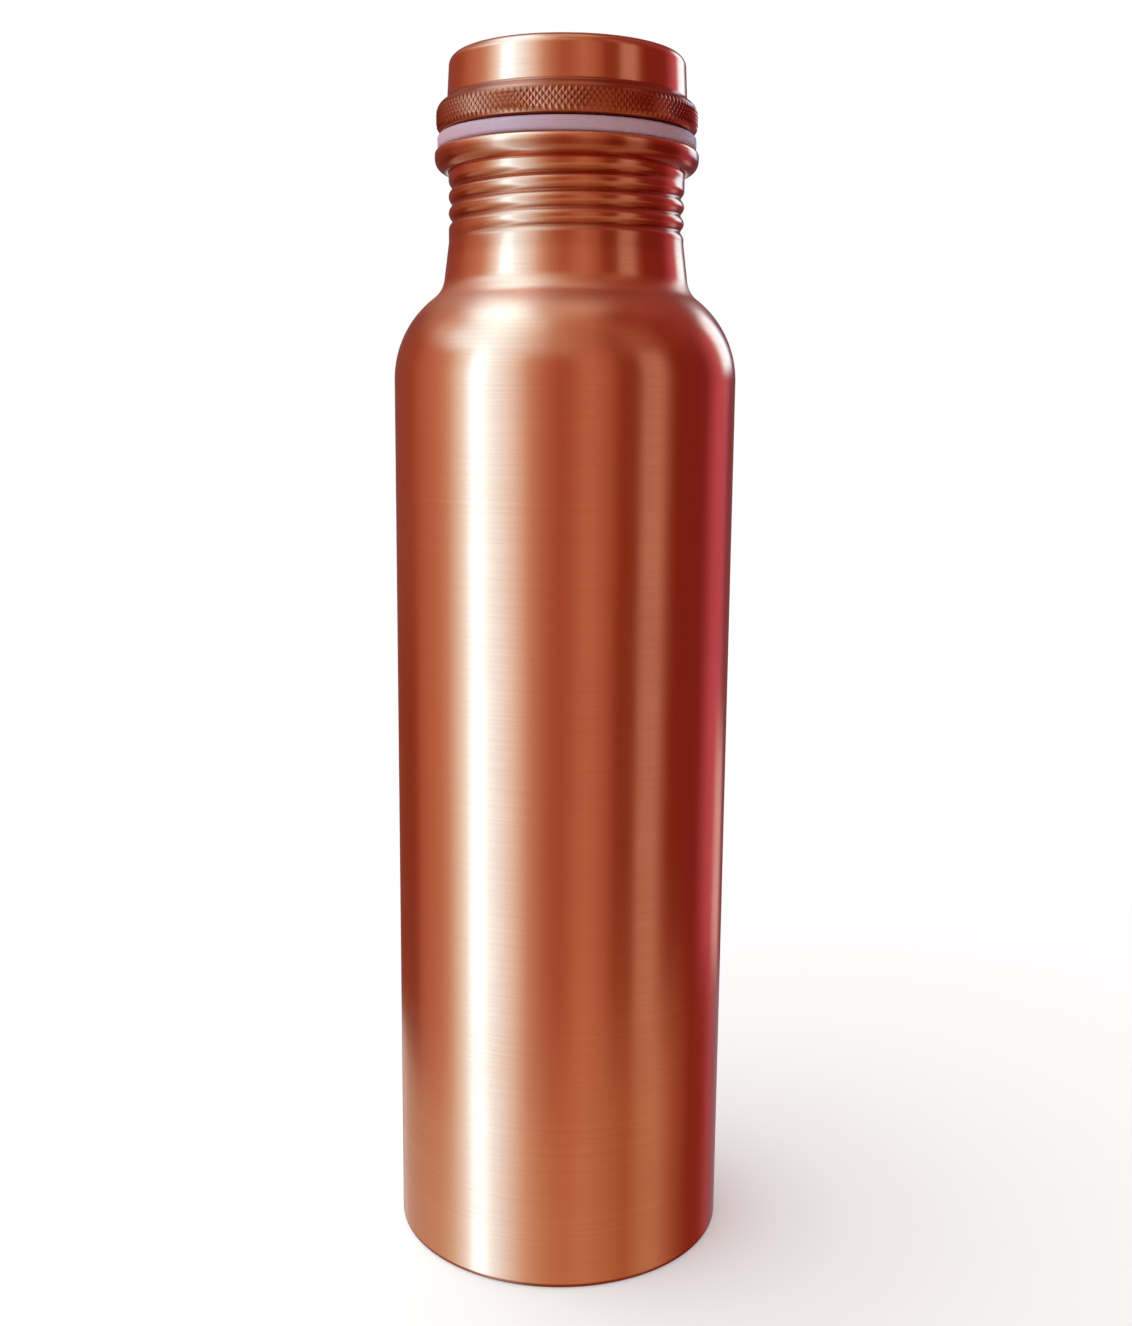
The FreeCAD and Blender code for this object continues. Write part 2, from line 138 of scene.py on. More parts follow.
def thread_height(azimuth, height, start, turns):
    """How fully the thread is formed at a point: 1 on its centre line, 0 between its turns."""
    round_share = ((azimuth - THREAD_AZIMUTH) % FULL_TURN) / FULL_TURN
    along = (height - start) / THREAD_PITCH - round_share
    turn = round(along)
    away = along - turn
    travelled = turn + round_share
    fade_in = min(max(travelled / THREAD_FADE, 0.0), 1.0)
    fade_out = min(max((turns - travelled) / THREAD_FADE, 0.0), 1.0)
    fade = min(fade_in, fade_out)
    fade = fade * fade * (3 - 2 * fade)
    return fade * (0.5 + 0.5 * math.cos(FULL_TURN * away)) ** THREAD_CREST


def roll_thread(metal, low, high, start, turns, move):
    """Presses the thread into, or out of, the part of a wall between two heights."""
    darkening = metal.verts.layers.float.new("darkening")
    for corner in metal.verts:
        if low < corner.co.z < high:
            azimuth = math.atan2(corner.co.y, corner.co.x)
            formed = thread_height(azimuth, corner.co.z, start, turns)
            radius = math.hypot(corner.co.x, corner.co.y)
            scale = (radius + move * formed) / radius
            corner.co.x *= scale
            corner.co.y *= scale
            # Painted shade deepens along the rolled thread, and the whole threaded zone is a
            # little darker.
            corner[darkening] = NECK_DARKENING + (THREAD_SHADE - NECK_DARKENING) * formed


# Where the round of the shoulder touches the hollow round at the root of the neck.
shoulder_centre = BODY_RADIUS - SHOULDER_RADIUS
root_centre = NECK_ROOT_RADIUS + NECK_ROOT_FILLET * math.cos(NECK_TAPER)
centres_apart = SHOULDER_RADIUS + NECK_ROOT_FILLET
touch_angle = math.acos((root_centre - shoulder_centre) / centres_apart)
root_height = SHOULDER_START + centres_apart * math.sin(touch_angle)
neck_start = root_height - NECK_ROOT_FILLET * math.sin(NECK_TAPER)
neck_straight = neck_start + (NECK_ROOT_RADIUS - NECK_RADIUS) / math.tan(NECK_TAPER)
curl_end = NECK_RADIUS + RIM_GAP
curl_radius = RIM_RADIUS - curl_end
curl_height = RIM_TOP - RIM_HEIGHT + curl_radius
neck_wall = NECK_RADIUS - HALF_SHEET
bend_height = RIM_TOP - SHEET - RIM_BEND

foot = arc(BODY_RADIUS - FOOT_CORNER, FOOT_CORNER, FOOT_CORNER - HALF_SHEET, -90, 0, steps=6)
shoulder = arc(shoulder_centre, SHOULDER_START, SHOULDER_RADIUS - HALF_SHEET,
               0, math.degrees(touch_angle), steps=28)
neck_root = arc(root_centre, root_height, NECK_ROOT_FILLET + HALF_SHEET,
                180 + math.degrees(touch_angle), 180 + math.degrees(NECK_TAPER), steps=14)
rim_bend = arc(NECK_RADIUS + RIM_BEND, bend_height, RIM_BEND + HALF_SHEET, 180, 90, steps=7)
rim_corner = arc(RIM_RADIUS - RIM_CORNER, RIM_TOP - RIM_CORNER, RIM_CORNER - HALF_SHEET,
                 90, 0, steps=6)
curl = arc(curl_end, curl_height, curl_radius - HALF_SHEET, 0, -90, steps=12)
shell_outline = (
    [(BODY_RADIUS - FOOT_WIDTH, HALF_SHEET)]
    + foot
    + [(foot[-1][0], FOOT_SHADOW_TOP)]
    + straight((foot[-1][0], FOOT_SHADOW_TOP), shoulder[0], steps=20)
    + shoulder
    + neck_root
    + straight(neck_root[-1], (neck_wall, neck_straight), steps=4)
    + [(neck_wall, neck_straight)]
    + straight((neck_wall, neck_straight), rim_bend[0], steps=80)
    + rim_bend
    + rim_corner
    + curl
)

COPPER_TINT = ((0.83, 0.318, 0.171), (0.77, 0.280, 0.145))
DARKENED_COPPER = (0.36, 0.070, 0.026)
GRAIN_ALONG_ROUND = 0.25
GRAIN_SCALE = (16.0, 16.0, 2600.0)
GRAIN_DETAIL = 4.0
GRAIN_CONTRAST = 0.75
GRAIN_HEIGHT = 0.02 * MM
CLOUD_SCALE = 38.0
CLOUD_DETAIL = 5.0
GRAIN_IN_TINT = 0.6
TINT_RANGE = (0.35, 0.65)
DULLNESS_RANGE = (0.1, 0.45)
ROOT_DULLNESS = 0.16
ROOT_DULL_STOPS = ((10.0 * MM, 0.0), (6.0 * MM, ROOT_DULLNESS), (3.0 * MM, ROOT_DULLNESS),
                   (0.0, 0.0))
BLACK = (0.0, 0.0, 0.0, 1.0)
WALL_ROUGHNESS = (0.15, 0.225)
WALL_GRAIN = 0.15
WALL_SMEAR = 0.3


def copper(name, roughness, grain, smear):
    """Copper sheet: warm red metal with a fine lathe grain round the axis and faint clouding.

    The roughness is a range, the grain is how deep its lines are, and the smear is how far they
    stretch a reflection.
    """
    material = bpy.data.materials.new(name)
    material.use_nodes = True
    nodes = material.node_tree.nodes
    links = material.node_tree.links
    surface = nodes["Principled BSDF"]
    surface.inputs["Metallic"].default_value = 1.0
    surface.inputs["Anisotropic"].default_value = smear
    surface.inputs["Anisotropic Rotation"].default_value = GRAIN_ALONG_ROUND

    place = nodes.new("ShaderNodeTexCoord")
    round_the_axis = nodes.new("ShaderNodeTangent")
    round_the_axis.direction_type = "RADIAL"
    round_the_axis.axis = "Z"
    links.new(round_the_axis.outputs["Tangent"], surface.inputs["Tangent"])

    # Grain lines are long round the axis and very short along it.
    stretch = nodes.new("ShaderNodeMapping")
    stretch.inputs["Scale"].default_value = GRAIN_SCALE
    lines = nodes.new("ShaderNodeTexNoise")
    lines.inputs["Scale"].default_value = 1.0
    lines.inputs["Detail"].default_value = GRAIN_DETAIL
    lines.inputs["Roughness"].default_value = GRAIN_CONTRAST
    links.new(place.outputs["Object"], stretch.inputs["Vector"])
    links.new(stretch.outputs["Vector"], lines.inputs["Vector"])

    clouds = nodes.new("ShaderNodeTexNoise")
    clouds.inputs["Scale"].default_value = CLOUD_SCALE
    clouds.inputs["Detail"].default_value = CLOUD_DETAIL
    links.new(place.outputs["Object"], clouds.inputs["Vector"])

    colour = nodes.new("ShaderNodeMix")
    colour.data_type = "RGBA"
    colour.inputs[6].default_value = (*COPPER_TINT[0], 1.0)
    colour.inputs[7].default_value = (*COPPER_TINT[1], 1.0)
    mottle = nodes.new("ShaderNodeMix")
    mottle.inputs[0].default_value = GRAIN_IN_TINT
    links.new(clouds.outputs["Fac"], mottle.inputs[2])
    links.new(lines.outputs["Fac"], mottle.inputs[3])
    uneven = nodes.new("ShaderNodeMapRange")
    uneven.inputs["From Min"].default_value = TINT_RANGE[0]
    uneven.inputs["From Max"].default_value = TINT_RANGE[1]
    links.new(mottle.outputs[0], uneven.inputs["Value"])
    links.new(uneven.outputs["Result"], colour.inputs[0])

    # Each piece's mesh says where its copper is darkened: painted shade along the thread, in the
    # knurl pits, over the grip bead and under the curl of the rim, a painted contact shadow at
    # the foot, and a darker threaded zone.
    grooves = nodes.new("ShaderNodeAttribute")
    grooves.attribute_name = "darkening"
    darkened = nodes.new("ShaderNodeMix")
    darkened.data_type = "RGBA"
    darkened.inputs[7].default_value = (*DARKENED_COPPER, 1.0)
    links.new(grooves.outputs["Fac"], darkened.inputs[0])
    links.new(colour.outputs[2], darkened.inputs[6])
    links.new(darkened.outputs[2], surface.inputs["Base Color"])

    dullness = nodes.new("ShaderNodeMapRange")
    dullness.inputs["From Min"].default_value = DULLNESS_RANGE[0]
    dullness.inputs["From Max"].default_value = DULLNESS_RANGE[1]
    dullness.inputs["To Min"].default_value = roughness[0]
    dullness.inputs["To Max"].default_value = roughness[1]
    both = nodes.new("ShaderNodeMath")
    both.operation = "MULTIPLY"
    links.new(lines.outputs["Fac"], both.inputs[0])
    links.new(clouds.outputs["Fac"], both.inputs[1])
    links.new(both.outputs["Value"], dullness.inputs["Value"])

    # The polishing wheel does not reach well into the root of the neck, which stays duller.
    parts = nodes.new("ShaderNodeSeparateXYZ")
    above = nodes.new("ShaderNodeMapRange")
    above.inputs["From Min"].default_value = SHOULDER_START
    above.inputs["From Max"].default_value = neck_straight
    reach = nodes.new("ShaderNodeValToRGB")
    reach.color_ramp.elements[0].color = BLACK
    reach.color_ramp.elements[1].color = BLACK
    for below_root, extra in ROOT_DULL_STOPS:
        stop = reach.color_ramp.elements.new((root_height - below_root - SHOULDER_START)
                                             / (neck_straight - SHOULDER_START))
        stop.color = (extra, extra, extra, 1.0)
    duller = nodes.new("ShaderNodeMath")
    links.new(place.outputs["Object"], parts.inputs["Vector"])
    links.new(parts.outputs["Z"], above.inputs["Value"])
    links.new(above.outputs["Result"], reach.inputs["Fac"])
    links.new(dullness.outputs["Result"], duller.inputs[0])
    links.new(reach.outputs["Color"], duller.inputs[1])
    links.new(duller.outputs["Value"], surface.inputs["Roughness"])

    scratches = nodes.new("ShaderNodeBump")
    scratches.inputs["Strength"].default_value = grain
    scratches.inputs["Distance"].default_value = GRAIN_HEIGHT
    links.new(lines.outputs["Fac"], scratches.inputs["Height"])
    links.new(scratches.outputs["Normal"], surface.inputs["Normal"])
    return material


brushed_copper = copper("brushed_copper", WALL_ROUGHNESS, WALL_GRAIN, WALL_SMEAR)
shell = spun_mesh(shell_outline, SHELL_STEPS)
roll_thread(shell, neck_straight - THREAD_RUN_OUT, RIM_TOP - RIM_HEIGHT, THREAD_START,
            THREAD_TURNS, -THREAD_DEPTH)

# A painted contact shadow runs along the folded foot, and painted shade lies on the underside of
# the curl.
shell_darkening = shell.verts.layers.float["darkening"]
for corner in shell.verts:
    across = math.hypot(corner.co.x, corner.co.y)
    if corner.co.z < (FOOT_CORNER + FOOT_SHADOW_TOP) / 2:
        corner[shell_darkening] = FOOT_SHADOW
    # Painted shade under the curl of the rim.
    elif neck_straight < corner.co.z < curl_height + RIM_GAP and across > curl_end:
        corner[shell_darkening] = RIM_SHADE
finished_piece("bottle_shell", shell, "bottle", brushed_copper, "body_shell", SHEET)

# ------------------------------------------------------------------ base disc
# A pressed copper dish closes the bottom. Its panel is raised off the table and its skirt is
# brazed to the inside of the wall, so the bottle stands on the folded edge of the wall.
BASE_RECESS = 3.2 * MM
BASE_BEND = 1.2 * MM
BRAZE_GAP = 0.05 * MM
DISH_ROUGHNESS = (0.3, 0.42)
DISH_GRAIN = 0.5
DISH_SMEAR = 0.2
DISH_STEPS = 128
skirt = BODY_RADIUS - SHEET - BRAZE_GAP - HALF_SHEET
panel = BASE_RECESS + HALF_SHEET
dish_bend = arc(skirt - BASE_BEND - HALF_SHEET, panel - BASE_BEND - HALF_SHEET,
                BASE_BEND + HALF_SHEET, 90, 0, steps=8)
dish_outline = (
    [(0.0, panel)]
    + straight((0.0, panel), dish_bend[0], steps=12)
    + dish_bend
    + [(skirt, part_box("base_disc")[0][2])]
)
pressed_copper = copper("pressed_copper", DISH_ROUGHNESS, DISH_GRAIN, DISH_SMEAR)
dish = spun_mesh(dish_outline, DISH_STEPS)
finished_piece("base_dish", dish, "bottle", pressed_copper, "base_disc", SHEET)

# ------------------------------------------------------------------ sealing ring
# The white silicone washer that the cap squeezes on to the rim. It is moulded with round outer
# edges, and it stays on the cap when the cap is taken off.
ring_low, ring_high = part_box("sealing_ring")
RING_PLAY = 0.35 * MM
THREAD_CLEARANCE = 0.4 * MM
plug_radius = NECK_RADIUS - SHEET - THREAD_DEPTH - THREAD_CLEARANCE
ring_inner = plug_radius + RING_PLAY
ring_middle = (ring_low[2] + ring_high[2]) / 2
RING_EDGE = 0.9 * MM
RING_STEPS = 160
SILICONE_TINTS = ((0.41, 0.250, 0.285, 1.0), (0.36, 0.215, 0.250, 1.0))
SILICONE_ROUGHNESS = 0.45
SILICONE_SCATTER = 0.35
SILICONE_DEPTHS = (2.0 * MM, 1.5 * MM, 1.4 * MM)
DUST_SCALE = 900.0
ring_outline = (
    [(ring_inner, ring_low[2]), (ring_inner, ring_middle), (ring_inner, ring_high[2])]
    + arc(ring_high[0] - RING_EDGE, ring_high[2] - RING_EDGE, RING_EDGE, 90, 0, steps=8)
    + arc(ring_high[0] - RING_EDGE, ring_low[2] + RING_EDGE, RING_EDGE, 0, -90, steps=8)
)
silicone = bpy.data.materials.new("white_silicone")
silicone.use_nodes = True
rubber = silicone.node_tree.nodes["Principled BSDF"]
rubber.inputs["Roughness"].default_value = SILICONE_ROUGHNESS
rubber.inputs["Subsurface Weight"].default_value = SILICONE_SCATTER
rubber.inputs["Subsurface Radius"].default_value = SILICONE_DEPTHS
rubber.inputs["Subsurface Scale"].default_value = 1.0
dust = silicone.node_tree.nodes.new("ShaderNodeTexNoise")
dust.inputs["Scale"].default_value = DUST_SCALE
dust_place = silicone.node_tree.nodes.new("ShaderNodeTexCoord")
dust_colour = silicone.node_tree.nodes.new("ShaderNodeMix")
dust_colour.data_type = "RGBA"
dust_colour.inputs[6].default_value = SILICONE_TINTS[0]
dust_colour.inputs[7].default_value = SILICONE_TINTS[1]
silicone.node_tree.links.new(dust_place.outputs["Object"], dust.inputs["Vector"])
silicone.node_tree.links.new(dust.outputs["Fac"], dust_colour.inputs[0])
silicone.node_tree.links.new(dust_colour.outputs[2], rubber.inputs["Base Color"])
ring = spun_mesh(ring_outline, RING_STEPS, closed=True)
finished_piece("seal", ring, "seal", silicone, "sealing_ring")

# ------------------------------------------------------------------ cap shell
# The outside of the cap: a drawn copper cup with a round top edge. Its lower edge is rolled into
# a hollow grip bead, knurled with a diamond wheel, and folded in under the plug's flange.
cap_low, cap_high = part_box("cap_shell")
CAP_SHEET = 0.5 * MM
CAP_HALF = CAP_SHEET / 2
BEAD_RADIUS = cap_high[0]
BEAD_STEP = 2.4 * MM
BEAD_HEIGHT = 7.0 * MM
BEAD_UPPER_ROUND = 3.0 * MM
BEAD_LOWER_ROUND = 2.2 * MM
BEAD_ROOT_FILLET = 0.8 * MM
BEAD_LIP_WIDTH = 3.1 * MM
CAP_FLARE = 0.35 * MM
CAP_TOP_ROUND = 2.2 * MM
KNURL_COUNT = 138
KNURL_ROWS = 6
KNURL_DEPTH = 0.17 * MM
# Shares of painted shade in the knurl pits and over the whole grip bead.
KNURL_PIT_SHADE = 0.95
BEAD_SHADE = 0.85
KNURL_SLANT = math.radians(40)
KNURL_MARGIN = 0.75 * MM
knurl_height = FULL_TURN * BEAD_RADIUS / KNURL_COUNT / math.tan(KNURL_SLANT)
bead_centre = BEAD_RADIUS - BEAD_UPPER_ROUND
bead_top_centre = cap_low[2] + BEAD_HEIGHT - BEAD_UPPER_ROUND
bead_low_centre = cap_low[2] + BEAD_LOWER_ROUND
cap_foot = BEAD_RADIUS - BEAD_STEP
bead_touch = math.acos((cap_foot + BEAD_ROOT_FILLET - bead_centre)
                       / (BEAD_UPPER_ROUND + BEAD_ROOT_FILLET))
fillet_height = bead_top_centre + (BEAD_UPPER_ROUND + BEAD_ROOT_FILLET) * math.sin(bead_touch)
cap_round_centre = cap_foot - CAP_FLARE - CAP_TOP_ROUND
cap_round_height = cap_high[2] - CAP_TOP_ROUND

knurl_low = cap_low[2] + KNURL_MARGIN
knurl_rows = [knurl_low + row * knurl_height / 2 for row in range(KNURL_ROWS + 1)]


def bead_face(height):
    """A point on the bead's outer face, in the middle of its sheet."""
    if height < bead_low_centre:
        away, bend = bead_low_centre - height, BEAD_LOWER_ROUND - CAP_HALF
        return (BEAD_RADIUS - BEAD_LOWER_ROUND + math.sqrt(bend ** 2 - away ** 2), height)
    if height > bead_top_centre:
        away, bend = height - bead_top_centre, BEAD_UPPER_ROUND - CAP_HALF
        return (bead_centre + math.sqrt(bend ** 2 - away ** 2), height)
    return (BEAD_RADIUS - CAP_HALF, height)


def knurl(metal, rows):
    """Presses the diamond wheel's crossed grooves into some rows of a wall's corners.

    There are two corners to a diamond each way, so that they lie in turn on a groove crossing and
    on a point. Each face is then cut along its groove, which gives the points four flat sides.
    """
    near = CAP_HALF / 10
    crossings = set()
    darkening = metal.verts.layers.float.new("darkening")
    for corner in metal.verts:
        if bead_low_centre - BEAD_LOWER_ROUND < corner.co.z < fillet_height:
            # Painted shade darkens the whole grip bead.
            corner[darkening] = BEAD_SHADE
        column = round(math.atan2(corner.co.y, corner.co.x) / FULL_TURN * KNURL_COUNT * 2)
        row = min(range(len(rows)), key=lambda each: abs(rows[each] - corner.co.z))
        radius = math.hypot(corner.co.x, corner.co.y)
        if abs(rows[row] - corner.co.z) > near or radius < bead_centre:
            continue
        if (column + row) % 2 == 0:
            crossings.add(corner)
            if 0 < row < len(rows) - 1:
                # Painted shade in the knurl's pits.
                corner[darkening] = KNURL_PIT_SHADE
                corner.co.x *= 1 - KNURL_DEPTH / radius
                corner.co.y *= 1 - KNURL_DEPTH / radius
    band = [face for face in metal.faces
            if all(rows[0] - near < corner.co.z < rows[-1] + near
                   and math.hypot(corner.co.x, corner.co.y) > bead_centre
                   for corner in face.verts)]
    along_first = [face for face in band if face.verts[0] in crossings]
    along_second = [face for face in band if face.verts[0] not in crossings]
    for face in band:
        face.smooth = False
    bmesh.ops.triangulate(metal, faces=along_first, quad_method="FIXED")
    bmesh.ops.triangulate(metal, faces=along_second, quad_method="ALTERNATE")


under_knurl = math.degrees(math.asin((bead_low_centre - knurl_rows[0])
                                     / (BEAD_LOWER_ROUND - CAP_HALF)))
over_knurl = math.degrees(math.asin((knurl_rows[-1] - bead_top_centre)
                                    / (BEAD_UPPER_ROUND - CAP_HALF)))
lip = (BEAD_RADIUS - BEAD_LIP_WIDTH, cap_low[2] + CAP_HALF)
lower_round = arc(BEAD_RADIUS - BEAD_LOWER_ROUND, bead_low_centre,
                  BEAD_LOWER_ROUND - CAP_HALF, -90, -under_knurl, steps=7)
upper_round = arc(bead_centre, bead_top_centre, BEAD_UPPER_ROUND - CAP_HALF,
                  over_knurl, math.degrees(bead_touch), steps=12)
bead_root = arc(cap_foot + BEAD_ROOT_FILLET, fillet_height, BEAD_ROOT_FILLET + CAP_HALF,
                180 + math.degrees(bead_touch), 180, steps=7)
top_round = arc(cap_round_centre, cap_round_height, CAP_TOP_ROUND - CAP_HALF, 0, 90, steps=16)
cap_outline = (
    [lip]
    + lower_round
    + [bead_face(height) for height in knurl_rows[1:-1]]
    + upper_round
    + bead_root[1:]
    + straight(bead_root[-1], top_round[0], steps=3)
    + top_round
    + straight(top_round[-1], (0.0, top_round[-1][1]), steps=6)
    + [(0.0, top_round[-1][1])]
)
cap = spun_mesh(cap_outline, KNURL_COUNT * 2)
knurl(cap, knurl_rows)
finished_piece("cap_cup", cap, "cap", brushed_copper, "cap_shell", CAP_SHEET)

# ------------------------------------------------------------------ screw plug
# The inner cup of the cap. Its flange is held in the grip bead, and its wall goes down into the
# neck, where the ridge rolled into it runs between the neck's own ridges. The floor is flat.
plug_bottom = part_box("screw_plug")[0][2]
PLUG_CORNER = 1.5 * MM
PLUG_TURNS = 3.0
PLUG_STEPS = 160
FLANGE_BEND = 0.8 * MM
FLANGE_PLAY = 0.1 * MM
flange_height = cap_low[2] + CAP_SHEET
flange_edge = BEAD_RADIUS - BEAD_LOWER_ROUND - FLANGE_PLAY
plug_floor = plug_bottom + CAP_HALF
floor_corner = arc(plug_radius - PLUG_CORNER, plug_bottom + PLUG_CORNER,
                   PLUG_CORNER - CAP_HALF, -90, 0, steps=7)
flange_bend = arc(plug_radius + FLANGE_BEND, flange_height - FLANGE_BEND,
                  FLANGE_BEND + CAP_HALF, 180, 90, steps=7)
plug_outline = (
    [(0.0, plug_floor)]
    + straight((0.0, plug_floor), floor_corner[0], steps=8)
    + floor_corner
    + straight(floor_corner[-1], flange_bend[0], steps=90)
    + flange_bend
    + [(flange_edge, flange_bend[-1][1])]
)
plug = spun_mesh(plug_outline, PLUG_STEPS)
roll_thread(plug, floor_corner[-1][1], flange_bend[0][1], THREAD_START + THREAD_PITCH / 2,
            PLUG_TURNS, THREAD_DEPTH)
finished_piece("plug_cup", plug, "cap", brushed_copper, "screw_plug", CAP_SHEET)

# ------------------------------------------------------------------ studio
# A pale table top and backdrop, in a soft room that is bright on the left and dim and warm on the
# right. Only reflections see the dome of lamps, warm boards and dark gaps round the bottle.
TABLE_SIZE = 60.0
PAPER = (0.6, 0.6, 0.6, 1.0)
PAPER_GLOW = 0.35
PAPER_ROUGHNESS = 0.9
WHITE = (1.0, 1.0, 1.0, 1.0)
ROOM_LEFT = (2.35, 2.55, 2.54, 1.0)
ROOM_RIGHT = (0.26, 0.05, 0.06, 1.0)
ROOM_FADE = (-0.7, 0.45)
floor_mesh = bmesh.new()
bmesh.ops.create_grid(floor_mesh, x_segments=1, y_segments=1, size=TABLE_SIZE)
floor_data = bpy.data.meshes.new("table_top")
floor_mesh.to_mesh(floor_data)
floor_mesh.free()
floor = bpy.data.objects.new("table_top", floor_data)
bpy.context.scene.collection.objects.link(floor)
floor.visible_glossy = False
paper = bpy.data.materials.new("pale_paper")
paper.use_nodes = True
paper_surface = paper.node_tree.nodes["Principled BSDF"]
paper_surface.inputs["Base Color"].default_value = PAPER
paper_surface.inputs["Emission Color"].default_value = WHITE
paper_surface.inputs["Emission Strength"].default_value = PAPER_GLOW
paper_surface.inputs["Roughness"].default_value = PAPER_ROUGHNESS
paper_surface.inputs["Specular IOR Level"].default_value = 0.0
floor_data.materials.append(paper)

world = bpy.data.worlds.new("soft_room")
bpy.context.scene.world = world
world.use_nodes = True
air = world.node_tree.nodes
wires = world.node_tree.links
around = air.new("ShaderNodeTexCoord")
direction = air.new("ShaderNodeSeparateXYZ")
wires.new(around.outputs["Generated"], direction.inputs["Vector"])
from_left = air.new("ShaderNodeMapRange")
from_left.inputs["From Min"].default_value = ROOM_FADE[0]
from_left.inputs["From Max"].default_value = ROOM_FADE[1]
wires.new(direction.outputs["X"], from_left.inputs["Value"])
room = air.new("ShaderNodeMix")
room.data_type = "RGBA"
room.inputs[6].default_value = ROOM_LEFT
room.inputs[7].default_value = ROOM_RIGHT
wires.new(from_left.outputs["Result"], room.inputs[0])
seen = air.new("ShaderNodeLightPath")
backdrop = air.new("ShaderNodeMix")
backdrop.data_type = "RGBA"
backdrop.inputs[7].default_value = WHITE
wires.new(seen.outputs["Is Camera Ray"], backdrop.inputs[0])
wires.new(room.outputs[2], backdrop.inputs[6])
wires.new(backdrop.outputs[2], air["Background"].inputs["Color"])

DOME_RADIUS = 6.0
DOME_HEIGHT = 0.19
DOME_SIDES = 96
DOME_RINGS = 48
dome_mesh = bmesh.new()
bmesh.ops.create_uvsphere(dome_mesh, u_segments=DOME_SIDES, v_segments=DOME_RINGS,
                          radius=DOME_RADIUS)
bmesh.ops.translate(dome_mesh, verts=dome_mesh.verts, vec=(0, 0, DOME_HEIGHT))
dome_data = bpy.data.meshes.new("lamp_dome")
dome_mesh.to_mesh(dome_data)
dome_mesh.free()
dome = bpy.data.objects.new("lamp_dome", dome_data)
bpy.context.scene.collection.objects.link(dome)
dome.visible_camera = False
dome.visible_diffuse = False
dome.visible_shadow = False

lamps = bpy.data.materials.new("lamps")
lamps.use_nodes = True
lamp_nodes = lamps.node_tree.nodes
lamp_links = lamps.node_tree.links
lamp_nodes.remove(lamp_nodes["Principled BSDF"])
glow = lamp_nodes.new("ShaderNodeEmission")
lamp_links.new(glow.outputs["Emission"], lamp_nodes["Material Output"].inputs["Surface"])


def lamp_math(operation, first, second=None):
    """One step of arithmetic on the dome: each side is another step's result, or a number."""
    node = lamp_nodes.new("ShaderNodeMath")
    node.operation = operation
    for socket, value in zip(node.inputs, (first, second)):
        if value is None:
            continue
        if isinstance(value, float):
            socket.default_value = value
        else:
            lamp_links.new(value, socket)
    return node.outputs["Value"]


def lamp_fade(value, dark_at, bright_at):
    """0 on one side and 1 on the other, with a soft change between two limits."""
    node = lamp_nodes.new("ShaderNodeMapRange")
    node.interpolation_type = "SMOOTHSTEP"
    node.inputs["From Min"].default_value = dark_at
    node.inputs["From Max"].default_value = bright_at
    lamp_links.new(value, node.inputs["Value"])
    return node.outputs["Result"]


def lamp_blend(share, below, above):
    """Mixes two colours of the dome."""
    node = lamp_nodes.new("ShaderNodeMix")
    node.data_type = "RGBA"
    lamp_links.new(share, node.inputs[0])
    for socket, value in ((node.inputs[6], below), (node.inputs[7], above)):
        if isinstance(value, tuple):
            socket.default_value = (*value, 1.0)
        else:
            lamp_links.new(value, socket)
    return node.outputs[2]


# The azimuth is 0 at the front and grows to the right, and both angles are in degrees.
HALF_TURN_DEGREES = 180.0
spot = lamp_nodes.new("ShaderNodeTexCoord")
xyz = lamp_nodes.new("ShaderNodeSeparateXYZ")
lamp_links.new(spot.outputs["Object"], xyz.inputs["Vector"])
forward = lamp_math("MULTIPLY", xyz.outputs["Y"], -1.0)
azimuth = lamp_math("MULTIPLY", lamp_math("ARCTAN2", xyz.outputs["X"], forward),
                    HALF_TURN_DEGREES / math.pi)
rise = lamp_math("DIVIDE", lamp_math("SUBTRACT", xyz.outputs["Z"], DOME_HEIGHT), DOME_RADIUS)
elevation = lamp_math("MULTIPLY", lamp_math("ARCSINE", rise), HALF_TURN_DEGREES / math.pi)
round_dome = lamp_nodes.new("ShaderNodeMapRange")
round_dome.inputs["From Min"].default_value = -HALF_TURN_DEGREES
round_dome.inputs["From Max"].default_value = HALF_TURN_DEGREES
lamp_links.new(azimuth, round_dome.inputs["Value"])


def lamp_band(stops):
    """Colours round the dome, as (azimuth, red, green, blue), at a tenth of their brightness."""
    ramp = lamp_nodes.new("ShaderNodeValToRGB")
    points = ramp.color_ramp.elements
    for point, stop in ((points[0], stops[0]), (points[1], stops[-1])):
        point.position = (stop[0] + HALF_TURN_DEGREES) / (2 * HALF_TURN_DEGREES)
        point.color = (*stop[1:], 1.0)
    for stop in stops[1:-1]:
        point = points.new((stop[0] + HALF_TURN_DEGREES) / (2 * HALF_TURN_DEGREES))
        point.color = (*stop[1:], 1.0)
    lamp_links.new(round_dome.outputs["Result"], ramp.inputs["Fac"])
    return ramp.outputs["Color"]


